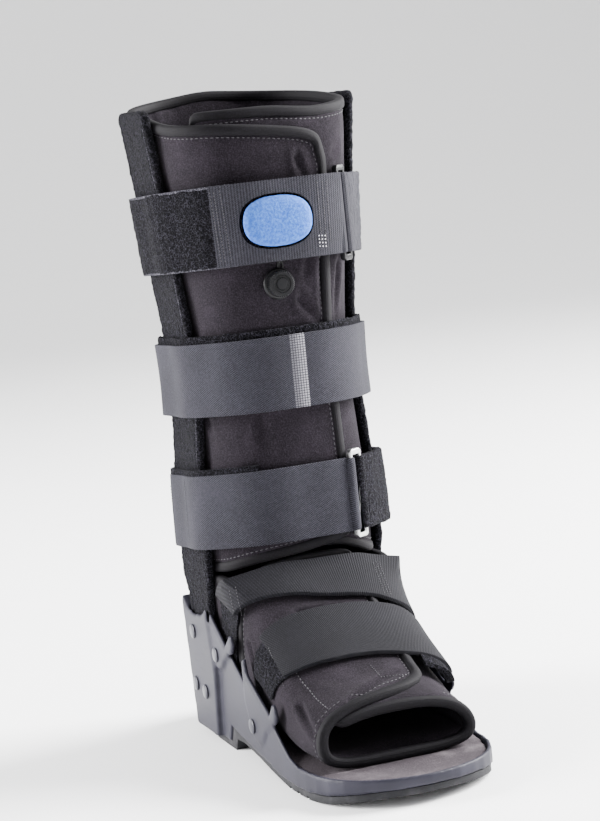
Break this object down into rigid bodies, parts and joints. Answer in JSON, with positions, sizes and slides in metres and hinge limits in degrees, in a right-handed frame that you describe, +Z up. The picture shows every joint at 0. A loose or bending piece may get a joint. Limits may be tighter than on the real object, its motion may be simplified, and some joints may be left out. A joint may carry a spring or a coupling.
{
  "type": "medical walking boot",
  "caption": "Tall open-toe walking boot: rigid sole shell with two padded uprights, foam wrap liner, leg and foot straps, and an air pump.",
  "frame": {"origin": "on the ground under the ankle axis, in the middle of the boot's width", "axes": "+Z up along the leg, -Y towards the toe, -X towards the outer (lateral) side of a right foot"},
  "size_m": [0.143, 0.2891, 0.4177],
  "materials": {
    "shell_plastic": "moulded, fine satin grain",
    "sole_rubber": "matt",
    "footbed_foam": "matt foam with a cloth face",
    "liner_fabric": "matt, foam laminate with a brushed face",
    "loop_pile": "matt curly pile",
    "strap_webbing": "woven, fine weave",
    "foot_strap_webbing": "woven, fine ribs",
    "pump_cover": "matt, soft foam skin",
    "black_plastic": "satin",
    "ring_steel": "plated"
  },
  "bodies": {
    "root": {"shell": "shell_plastic", "outsole": "sole_rubber", "footbed": "footbed_foam", "upright_lateral": "loop_pile", "upright_medial": "loop_pile", "rivet_pocket_upper_lateral": "shell_plastic", "rivet_pocket_rear_lateral": "shell_plastic", "rivet_pocket_front_lateral": "shell_plastic", "rivet_hook_rear_lateral": "shell_plastic", "rivet_hook_front_lateral": "shell_plastic", "rivet_pocket_upper_medial": "shell_plastic", "rivet_pocket_rear_medial": "shell_plastic", "rivet_pocket_front_medial": "shell_plastic", "rivet_hook_rear_medial": "shell_plastic", "rivet_hook_front_medial": "shell_plastic", "liner_leg": "liner_fabric", "liner_heel": "liner_fabric", "liner_foot": "liner_fabric", "strap_top": "loop_pile", "strap_top_panel": "strap_webbing", "pump_bulb": "pump_cover", "ring_top": "black_plastic", "strap_middle_pad": "loop_pile", "strap_middle": "strap_webbing", "strap_ankle": "strap_webbing", "ring_ankle": "ring_steel", "strap_ankle_tab": "loop_pile", "valve_base": "black_plastic", "valve_cap": "black_plastic", "strap_instep": "foot_strap_webbing", "strap_forefoot": "foot_strap_webbing", "tab_rear_lateral": "loop_pile", "tab_front_lateral": "loop_pile", "tab_rear_medial": "loop_pile", "tab_front_medial": "loop_pile"}
  },
  "joints": []
}
